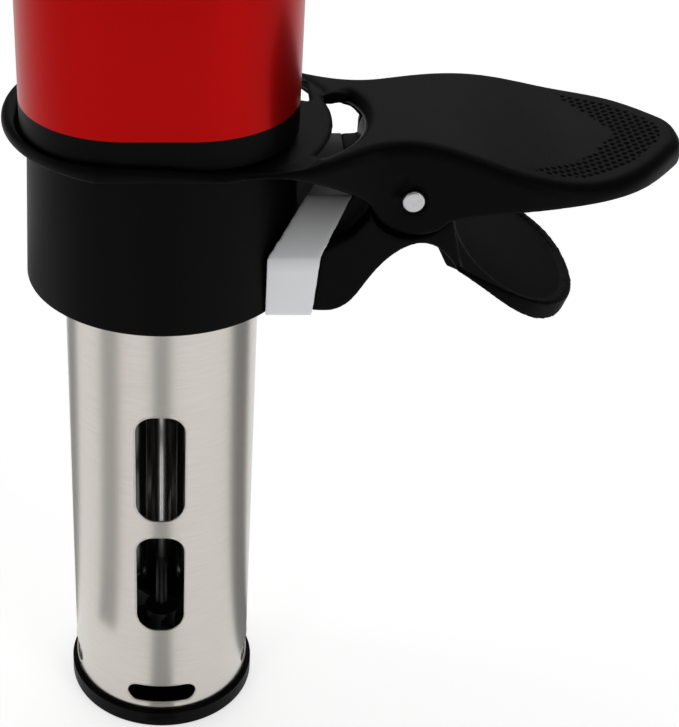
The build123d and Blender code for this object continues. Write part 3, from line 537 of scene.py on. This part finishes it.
FINISHES: dict[Slot, Moulded | Silicone | Metal | Lacquer | Laminate] = {
    Slot.RED_PAINT: Lacquer(
        "red_lacquer", (0.47, 0.003, 0.0025), (0.33, 0.002, 0.002), metallic=0.7, roughness=0.305),
    Slot.BRUSHED_STEEL: Metal(
        "brushed_skirt_steel", (0.645, 0.61, 0.57), (0.555, 0.52, 0.48), roughness=0.22, swing=0.08,
        lines=(0.05, 0.05, 1.0), scale=2600.0, depth=0.004, anisotropy=0.75),
    # Beyond 4.6 mm from the axis this steel is darkened as painted shade for the dark inside of the tube.
    Slot.POLISHED_STEEL: Metal(
        "polished_steel", (0.92, 0.91, 0.89), (0.84, 0.83, 0.81), roughness=0.24, swing=0.08,
        lines=(0.1, 0.1, 1.0), scale=1400.0, depth=0.002, inner_shade=(0.10, 0.098, 0.095), bright_radius=4.6),
    Slot.BLACK_PLASTIC: Moulded(
        "black_grained_plastic", (0.0014, 0.0014, 0.0017), (0.0022, 0.0022, 0.0027), roughness=0.44,
        specular=0.045),
    # The grey towards the pad's upper end is painted shade, not the silicone's own colour.
    Slot.WHITE_SILICONE: Silicone(
        "white_silicone", (0.80, 0.805, 0.82), (0.045, 0.0453, 0.0475), roughness=0.5, pale_below=171.0,
        shade_grey_above=191.0),
    Slot.BLACK_RUBBER: Moulded(
        "black_rubber", (0.012, 0.012, 0.012), (0.022, 0.021, 0.02), roughness=0.7, grain=0.6, depth=0.03),
    Slot.ZINC: Metal("bright_zinc", (0.56, 0.56, 0.57), (0.46, 0.46, 0.47), roughness=0.30),
    Slot.SPRING_WIRE: Metal("drawn_spring_wire", (0.50, 0.50, 0.51), (0.36, 0.36, 0.37), roughness=0.32),
    Slot.BRONZE: Metal(
        "sintered_bronze", (0.58, 0.38, 0.18), (0.42, 0.27, 0.12), roughness=0.45, swing=0.2, scale=2400.0),
    Slot.INNER_PLASTIC: Moulded(
        "inner_plastic", (0.020, 0.020, 0.021), (0.034, 0.034, 0.035), roughness=0.42),
    Slot.ALUMINIUM: Metal(
        "turned_aluminium", (0.66, 0.67, 0.68), (0.56, 0.57, 0.58), roughness=0.34, lines=(1.0, 1.0, 8.0)),
    Slot.MOTOR_STEEL: Metal("plated_motor_steel", (0.16, 0.16, 0.165), (0.11, 0.11, 0.115), roughness=0.42),
    Slot.BOARD_GREEN: Laminate("green_board", (0.012, 0.11, 0.04), (0.03, 0.20, 0.08), pitch=3.0),
    Slot.COMPONENT_BLACK: Moulded(
        "component_black", (0.018, 0.018, 0.020), (0.03, 0.03, 0.032), roughness=0.38),
    Slot.SMOKED_LENS: Moulded(
        "smoked_lens", (0.004, 0.004, 0.005), (0.006, 0.006, 0.007), roughness=0.12, grain=2.0, depth=0.002),
    Slot.BUTTON_GREY: Moulded("button_grey", (0.16, 0.16, 0.165), (0.21, 0.21, 0.215), roughness=0.45),
}


class Palette:
    """Materials made once for each slot."""

    def __init__(self) -> None:
        """Make every finish."""
        self.materials = {slot: finish.material() for slot, finish in FINISHES.items()}

    def dress_nodes(self) -> None:
        """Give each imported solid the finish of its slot."""
        for part in frame["record"]["subparts"]:
            solid = frame["nodes"][part["node"]]
            solid.data.materials.clear()
            solid.data.materials.append(self.materials[Slot(part["material_slot"])])
            LOG.info("solid %s: %s", part["node"], part["material_slot"])

    def dress(self, piece: bpy.types.Object, slot: Slot) -> None:
        """Give one piece the finish of its slot.

        Args:
            piece: the piece.
            slot: the slot of its finish.
        """
        piece.data.materials.clear()
        piece.data.materials.append(self.materials[slot])


def new_piece(name: str, mesh: bpy.types.Mesh) -> bpy.types.Object:
    """Put a mesh into the scene.

    Args:
        name: the piece's name.
        mesh: its mesh, in the shared frame.

    Returns:
        The new object, at the origin.
    """
    piece = bpy.data.objects.new(name, mesh)
    bpy.context.scene.collection.objects.link(piece)
    return piece


def settle(piece: bpy.types.Object) -> None:
    """Turn a piece with its modifiers into a plain smooth mesh.

    Args:
        piece: the piece.
    """
    graph = bpy.context.evaluated_depsgraph_get()
    mesh = bpy.data.meshes.new_from_object(piece.evaluated_get(graph))
    piece.modifiers.clear()
    piece.data = mesh
    mesh.polygons.foreach_set("use_smooth", [True] * len(mesh.polygons))


def merged_copy(node: str) -> bmesh.types.BMesh:
    """Copy a solid's mesh with its corners joined.

    Args:
        node: the solid's name.

    Returns:
        The copy.
    """
    copy = bmesh.new()
    copy.from_mesh(frame["nodes"][node].data)
    bmesh.ops.remove_doubles(copy, verts=copy.verts, dist=JOIN_DISTANCE)
    copy.normal_update()
    return copy


def remeshed(node: str, name: str, voxel: float) -> bpy.types.Object:
    """Copy a solid with an even mesh all over.

    Args:
        node: the solid's name.
        name: the new piece's name.
        voxel: the mesh's step in millimetres.

    Returns:
        The new piece.
    """
    mesh = bpy.data.meshes.new(name)
    copy = merged_copy(node)
    copy.to_mesh(mesh)
    copy.free()
    piece = new_piece(name, mesh)
    even = piece.modifiers.new("even", "REMESH")
    even.mode = "VOXEL"
    even.voxel_size = voxel * MM
    settle(piece)
    return piece


def smoothed(piece: bpy.types.Object, passes: int) -> None:
    """Round a piece's sharp edges.

    Args:
        piece: the piece.
        passes: how many times each point moves half-way to the middle of its neighbours.
    """
    soft = piece.modifiers.new("soft", "SMOOTH")
    soft.factor = SMOOTH_SHARE
    soft.iterations = passes
    settle(piece)


def search_tree(faces: list[bmesh.types.BMFace]) -> BVHTree:
    """Make a search tree of some of a mesh's faces.

    Args:
        faces: the faces.

    Returns:
        The tree, which finds the nearest of them with its normal and distance.
    """
    part = bmesh.new()
    for face in faces:
        part.faces.new([part.verts.new(vert.co) for vert in face.verts])
    part.normal_update()
    tree = BVHTree.FromBMesh(part)
    part.free()
    return tree


class ShapeBench(Bench):
    """A Geometry Nodes tree with named inputs for its sizes and its finish."""

    SIZE_SOCKETS = {float: "NodeSocketFloat", int: "NodeSocketInt"}

    def __init__(self, name: str, sizes: dict[str, float | int], finish: bpy.types.Material) -> None:
        """Start a tree with its inputs.

        Args:
            name: the tree's name.
            sizes: each size by the name of its input.
            finish: the material that the tree sets at its end.
        """
        super().__init__(bpy.data.node_groups.new(name, "GeometryNodeTree"))
        self.inputs: dict[str, Any] = {}
        ports = self.tree.interface
        ports.new_socket("Geometry", in_out="INPUT", socket_type="NodeSocketGeometry")
        for label, value in sizes.items():
            port = ports.new_socket(label, in_out="INPUT", socket_type=self.SIZE_SOCKETS[type(value)])
            self.inputs[port.identifier] = value
        port = ports.new_socket("Finish", in_out="INPUT", socket_type="NodeSocketMaterial")
        self.inputs[port.identifier] = finish
        ports.new_socket("Geometry", in_out="OUTPUT", socket_type="NodeSocketGeometry")
        entry = self.tree.nodes.new("NodeGroupInput")
        labels = ("Geometry", *sizes, "Finish")
        self.given = {label: Signal(self, entry.outputs[label]) for label in labels}

    def shape(self, piece: bpy.types.Object, result: Signal) -> None:
        """End the tree and turn a piece into what the tree makes of it.

        Args:
            piece: the piece.
            result: the geometry that the tree has made.
        """
        whole = self.node("GeometryNodeRealizeInstances", {}, {"Geometry": result})
        dressed = self.node("GeometryNodeSetMaterial", {},
                            {"Geometry": whole, "Material": self.given["Finish"]})
        leave = self.tree.nodes.new("NodeGroupOutput")
        self.feed(leave.inputs["Geometry"], dressed)
        change = piece.modifiers.new(self.tree.name, "NODES")
        change.node_group = self.tree
        for identifier, value in self.inputs.items():
            change[identifier] = value
        settle(piece)


@dataclass
class ClampFrame:
    """Ring round the body and upper finger lever.

    Lengths are in millimetres, and a facing is the upward part of a face's normal.
    """

    palette: Palette
    voxel: float = 0.55
    edge_passes: int = 8
    ring_roll: float = 2.3
    lever_roll: float = 3.6
    sole_roll: float = 1.4
    ring_end_x: float = 20.0
    lever_start_x: float = 60.0
    top_facing: float = 0.6
    sole_facing: float = -0.3
    wall_facing: float = 0.2
    wall_radius: float = 44.0
    wall_half: float = 40.8
    middle_x: float = 100.0
    end_reach: float = 20.0
    grip_facing: float = 0.8
    grip_start_x: float = 108.0
    grip_skew: float = 0.29
    grip_taper: float = 17.0
    grip_swell: float = 0.6
    grip_margin: float = 6.0
    grip_width: float = 12.0
    grip_spare: float = 1.0
    dimple_step_x: float = 1.95
    dimple_step_y: float = 2.45
    dimple_stagger: float = 0.5
    dimple_radius: float = 0.8
    dimple_depth: float = 0.5

    def build(self) -> bpy.types.Object:
        """Make the clamp frame.

        Returns:
            The finished piece.
        """
        walls, tops, soles = self._guides()
        piece = remeshed("clamp_frame", "clamp_frame_moulding", self.voxel)
        self._roll_edges(piece, walls, tops, self.ring_roll, self.lever_roll)
        self._roll_edges(piece, walls, soles, self.sole_roll, self.sole_roll)
        smoothed(piece, self.edge_passes)
        self._mark_grip(piece, walls)
        self._press_dimples(piece)
        self.palette.dress(piece, Slot.BLACK_PLASTIC)
        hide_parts("clamp_frame")
        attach(piece, "circulator")
        return piece

    def _guides(self) -> tuple[BVHTree, BVHTree, BVHTree]:
        """Find the solid's outer walls, its top and its underside.

        Returns:
            Search trees of the outer wall faces, of the top faces and of the faces below.
        """
        copy = merged_copy("clamp_frame")
        walls = search_tree([face for face in copy.faces if self._is_outer_wall(face)])
        tops = search_tree([face for face in copy.faces if face.normal.z > self.top_facing])
        soles = search_tree([face for face in copy.faces if face.normal.z < self.sole_facing])
        copy.free()
        return walls, tops, soles

    def _is_outer_wall(self, face: bmesh.types.BMFace) -> bool:
        """Tell whether a face belongs to the outer wall.

        Args:
            face: a face of the solid.

        Returns:
            True for an upright face on the rim that looks to its own side or end of the frame.
        """
        centre = face.calc_center_median()
        upright = abs(face.normal.z) < self.wall_facing
        sideways = face.normal.y * centre.y > 0
        endways = face.normal.x * (centre.x - self.middle_x * MM) > self.end_reach * MM
        on_rim = centre.xy.length > self.wall_radius * MM or abs(centre.y) > self.wall_half * MM
        return upright and (sideways or endways) and on_rim

    def _roll_edges(self, piece: bpy.types.Object, walls: BVHTree, caps: BVHTree, ring_roll: float,
                    lever_roll: float) -> None:
        """Round an outer edge to a radius that changes along the lever.

        Args:
            piece: the evenly meshed frame.
            walls: search tree of its outer walls.
            caps: search tree of the faces that meet them at the edge.
            ring_roll: the radius round the ring in millimetres.
            lever_roll: the radius along the lever in millimetres.
        """
        for vert in piece.data.vertices:
            share = (vert.co.x / MM - self.ring_end_x) / (self.lever_start_x - self.ring_end_x)
            share = min(max(share, 0.0), 1.0)
            roll = (ring_roll + (lever_roll - ring_roll) * share) * MM
            wall_place, wall_normal, _, wall_gap = walls.find_nearest(vert.co, roll)
            cap_place, cap_normal, _, cap_gap = caps.find_nearest(vert.co, roll)
            if wall_place is None or cap_place is None:
                continue
            inward = roll - wall_gap
            below = roll - cap_gap
            reach = math.hypot(inward, below)
            if reach > roll:
                keep = 1.0 - roll / reach
                vert.co -= wall_normal * (inward * keep) + cap_normal * (below * keep)

    def _mark_grip(self, piece: bpy.types.Object, walls: BVHTree) -> None:
        """Mark the points of the paddle's top that belong to the grip, and refine the mesh there.

        Args:
            piece: the rolled frame.
            walls: search tree of its outer walls.
        """
        fine = bmesh.new()
        fine.from_mesh(piece.data)
        fine.normal_update()
        band = fine.verts.layers.float.new(GRIP_BAND)
        reach = (self.grip_width + self.grip_margin + self.grip_spare) * MM
        chosen = set()
        for vert in fine.verts:
            past_start = vert.co.x / MM - self.grip_start_x - self.grip_skew * vert.co.y / MM
            if past_start < 0 or vert.normal.z < self.grip_facing:
                continue
            wall_place, _, _, wall_gap = walls.find_nearest(vert.co, reach)
            if wall_place is None:
                continue
            width = self.grip_width * min(past_start / self.grip_taper, 1.0) ** self.grip_swell
            if self.grip_margin < wall_gap / MM < self.grip_margin + width:
                vert[band] = 1.0
                chosen.update(vert.link_edges)
        edges = [edge for edge in fine.edges if edge in chosen]
        bmesh.ops.subdivide_edges(fine, edges=edges, cuts=1, use_grid_fill=True)
        fine.to_mesh(piece.data)
        fine.free()

    def _press_dimples(self, piece: bpy.types.Object) -> None:
        """Press staggered rows of dimples into the marked grip.

        Args:
            piece: the frame with its grip marked.
        """
        sizes = {"Step Along": self.dimple_step_x * MM, "Step Across": self.dimple_step_y * MM,
                 "Radius": self.dimple_radius * MM, "Depth": self.dimple_depth * MM}
        bench = ShapeBench("grip_dimples", sizes, self.palette.materials[Slot.BLACK_PLASTIC])
        given = bench.given
        spot = bench.node("GeometryNodeInputPosition")
        along = spot.part(Axis.X) / given["Step Along"]
        across = spot.part(Axis.Y) / given["Step Across"]
        row = along.rounded()
        shifted = across - row.parity() * self.dimple_stagger
        off_along = (along - row) * given["Step Along"]
        off_across = (shifted - shifted.rounded()) * given["Step Across"]
        squared = (off_along * off_along + off_across * off_across) / (given["Radius"] * given["Radius"])
        bowl = (1.0 - squared).at_least(0.0)
        band = bench.node("GeometryNodeInputNamedAttribute", {"data_type": "FLOAT"}, {"Name": GRIP_BAND})
        sink = bowl * band * given["Depth"] * -1.0
        offset = bench.node("ShaderNodeCombineXYZ", {}, {"Z": sink})
        pressed = bench.node("GeometryNodeSetPosition", {}, {"Geometry": given["Geometry"], "Offset": offset})
        bench.shape(piece, pressed)


@dataclass
class Jaw:
    """Lower lever with its tongue, and the soft pad on its jaw, in millimetres."""

    palette: Palette
    lever_voxel: float = 0.45
    lever_passes: int = 9
    pad_voxel: float = 0.5
    pad_passes: int = 12
    pad_fill: float = 0.95

    def build(self) -> list[bpy.types.Object]:
        """Make the lever and its pad.

        Returns:
            The two pieces.
        """
        lever = remeshed("jaw_lever", "jaw_lever_moulding", self.lever_voxel)
        smoothed(lever, self.lever_passes)
        self.palette.dress(lever, Slot.BLACK_PLASTIC)
        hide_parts("jaw_lever")
        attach(lever, "jaw")
        pad = remeshed("jaw_pad", "jaw_pad_silicone", self.pad_voxel)
        smoothed(pad, self.pad_passes)
        self.palette.dress(pad, Slot.WHITE_SILICONE)
        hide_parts("jaw_pad")
        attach(pad, "jaw")
        return [lever, pad]


@dataclass
class SkirtTube:
    """Rolled lips round the water slots of the steel tube, in millimetres and degrees."""

    palette: Palette
    lip_radius: float = 0.42
    lip_sides: int = 10
    lip_inset: float = 0.3
    sharp_angle: float = 50.0
    face_slack: float = 0.05
    end_margin: float = 1.0

    def build(self) -> bpy.types.Object:
        """Make the lips.

        Returns:
            The finished piece.
        """
        piece = new_piece("slot_lips", self._slot_edges())
        self._roll_lips(piece)
        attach(piece, "circulator")
        return piece

    def _slot_edges(self) -> bpy.types.Mesh:
        """Collect the edges of the slots in the tube's outer face.

        Returns:
            A mesh of lines, set a little way into the tube's wall.
        """
        low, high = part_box("skirt_tube")
        radius = (high[0] - low[0]) / 2
        lowest = low[2] + self.end_margin * MM
        highest = high[2] - self.end_margin * MM
        copy = merged_copy("skirt_tube")
        lines = bmesh.new()
        corners: dict[int, bmesh.types.BMVert] = {}
        for edge in copy.edges:
            sharp = len(edge.link_faces) == 2 and edge.calc_face_angle() > math.radians(self.sharp_angle)
            outside = all(abs(vert.co.xy.length - radius) < self.face_slack * MM for vert in edge.verts)
            between_ends = all(lowest < vert.co.z < highest for vert in edge.verts)
            if not (sharp and outside and between_ends):
                continue
            for vert in edge.verts:
                if vert.index not in corners:
                    inset = vert.co.xy.normalized().to_3d() * (self.lip_inset * MM)
                    corners[vert.index] = lines.verts.new(vert.co - inset)
            lines.edges.new([corners[vert.index] for vert in edge.verts])
        copy.free()
        mesh = bpy.data.meshes.new("slot_lips")
        lines.to_mesh(mesh)
        lines.free()
        return mesh

    def _roll_lips(self, piece: bpy.types.Object) -> None:
        """Sweep a round lip along the slots' edges.

        Args:
            piece: the edges as a mesh of lines.
        """
        sizes = {"Lip Radius": self.lip_radius * MM, "Lip Sides": self.lip_sides}
        bench = ShapeBench("slot_lips", sizes, self.palette.materials[Slot.BRUSHED_STEEL])
        given = bench.given
        path = bench.node("GeometryNodeMeshToCurve", {}, {"Mesh": given["Geometry"]})
        profile = bench.node("GeometryNodeCurvePrimitiveCircle", {"mode": "RADIUS"},
                             {"Resolution": given["Lip Sides"], "Radius": given["Lip Radius"]})
        swept = bench.node("GeometryNodeCurveToMesh", {}, {"Curve": path, "Profile Curve": profile})
        bench.shape(piece, swept)


@dataclass(frozen=True)
class Softbox:
    """One soft light: where it stands, what it faces, its size in metres and its power in watts."""

    name: str
    place: Triple
    aim: Triple
    width: float
    height: float
    power: float

    def light(self) -> None:
        """Set the light up."""
        lamp = bpy.data.lights.new(self.name, "AREA")
        lamp.shape = "RECTANGLE"
        lamp.size = self.width
        lamp.size_y = self.height
        lamp.energy = self.power
        stand = bpy.data.objects.new(self.name, lamp)
        stand.location = self.place
        stand.rotation_euler = (Vector(self.aim) - Vector(self.place)).to_track_quat("-Z", "Y").to_euler()
        bpy.context.scene.collection.objects.link(stand)


@dataclass(frozen=True)
class Flag:
    """Glowing card low beside the object that only its shine can see.

    It covers a sector round the Z axis, in degrees from -Y towards +X and in metres.
    """

    name: str
    start: float
    end: float
    glow: float
    inner: float = 0.031
    outer: float = 0.32
    height: float = 0.0015
    steps: int = 12
    colour: Triple = (0.015, 0.015, 0.015)
    toned: Triple = (0.02, 0.02, 0.02)
    cloud_scale: float = 20.0

    def lay(self) -> None:
        """Put the card down."""
        points = []
        for index in range(self.steps + 1):
            way = math.radians(self.start + (self.end - self.start) * index / self.steps)
            for reach in (self.inner, self.outer):
                points.append((reach * math.sin(way), -reach * math.cos(way), self.height))
        firsts = range(0, 2 * self.steps, 2)
        faces = [(first, first + 1, first + 3, first + 2) for first in firsts]
        mesh = bpy.data.meshes.new(self.name)
        mesh.from_pydata(points, [], faces)
        paint = Glowing(self.name, self.colour, self.toned, self.cloud_scale, self.glow)
        mesh.materials.append(paint.material())
        card = new_piece(self.name, mesh)
        card.visible_camera = False
        card.visible_diffuse = False
        card.visible_shadow = False


@dataclass
class Studio:
    """Camera of the photograph, pale floor and soft lights.

    Places are in metres, the camera's drop below level in degrees and its sensor in millimetres.
    """

    camera_place: Triple = (0.0, -0.4483, 0.4168)
    camera_drop: float = 33.24
    focal_pixels: float = 1761.0
    axis_pixel: float = 161.7
    sensor: float = 36.0
    clip_start: float = 0.01
    world_light: float = 0.22
    floor_size: float = 3.0
    floor_paint: Glowing = Glowing(
        "pale_floor", (0.86, 0.86, 0.86), (0.88, 0.88, 0.88), cloud_scale=3.0, glow=0.62)
    boxes: tuple[Softbox, ...] = (
        Softbox("left_box", (-1.08, 0.23, 0.55), (0.0, 0.0, 0.2), width=0.36, height=1.0, power=1.3),
        Softbox("front_left_box", (-0.70, -0.97, 0.55), (0.0, 0.0, 0.2), width=0.26, height=1.0, power=1.2),
        Softbox("right_box", (0.74, -0.90, 0.55), (0.03, 0.0, 0.2), width=0.44, height=1.0, power=2.2),
        Softbox("top_box", (0.1, 0.35, 1.25), (0.05, 0.0, 0.15), width=1.1, height=0.8, power=2.0),
        Softbox("back_box", (0.15, 1.1, 0.85), (0.07, 0.0, 0.2), width=1.0, height=0.5, power=1.6),
    )
    flags: tuple[Flag, ...] = (
        Flag("left_flag", start=-74.0, end=-50.0, glow=0.42, inner=0.065),
        Flag("front_flag", start=-10.0, end=10.0, glow=0.36),
        Flag("far_left_flag", start=-150.0, end=-118.0, glow=0.3),
        Flag("right_flag", start=88.0, end=124.0, glow=0.2),
    )

    def build(self) -> None:
        """Set up the whole studio."""
        self._camera()
        self._floor()
        self._world()
        for box in self.boxes:
            box.light()
        for flag in self.flags:
            flag.lay()

    def _camera(self) -> None:
        """Place the camera where the photograph was taken."""
        longer_side = max(IMAGE_WIDTH, IMAGE_HEIGHT)
        lens = bpy.data.cameras.new("camera")
        lens.sensor_width = self.sensor
        lens.lens = self.focal_pixels * self.sensor / longer_side
        lens.shift_x = (IMAGE_WIDTH / 2 - self.axis_pixel) / longer_side
        lens.clip_start = self.clip_start
        stand = bpy.data.objects.new("camera", lens)
        stand.location = self.camera_place
        stand.rotation_euler = (math.radians(90.0 - self.camera_drop), 0.0, 0.0)
        bpy.context.scene.collection.objects.link(stand)
        bpy.context.scene.camera = stand

    def _floor(self) -> None:
        """Lay the pale floor."""
        half = self.floor_size / 2
        corners = [(-half, -half, 0), (half, -half, 0), (half, half, 0), (-half, half, 0)]
        mesh = bpy.data.meshes.new("floor")
        mesh.from_pydata(corners, [], [(0, 1, 2, 3)])
        mesh.materials.append(self.floor_paint.material())
        floor = new_piece("floor", mesh)

    def _world(self) -> None:
        """Set even white light all round."""
        world = bpy.data.worlds.new("studio")
        world.use_nodes = True
        surround = world.node_tree.nodes["Background"]
        surround.inputs["Color"].default_value = WHITE
        surround.inputs["Strength"].default_value = self.world_light
        bpy.context.scene.world = world
        bpy.context.scene.view_settings.view_transform = "Standard"


def main() -> None:
    """Build every piece, dress it and set the studio."""
    logging.basicConfig(level=logging.INFO, format="%(name)s: %(message)s")
    Studio().build()
    palette = Palette()
    palette.dress_nodes()
    pieces = [ClampFrame(palette).build(), *Jaw(palette).build(), SkirtTube(palette).build()]
    for piece in pieces:
        LOG.info("piece %s: %d faces", piece.name, len(piece.data.polygons))


if __name__ == "__main__":
    main()
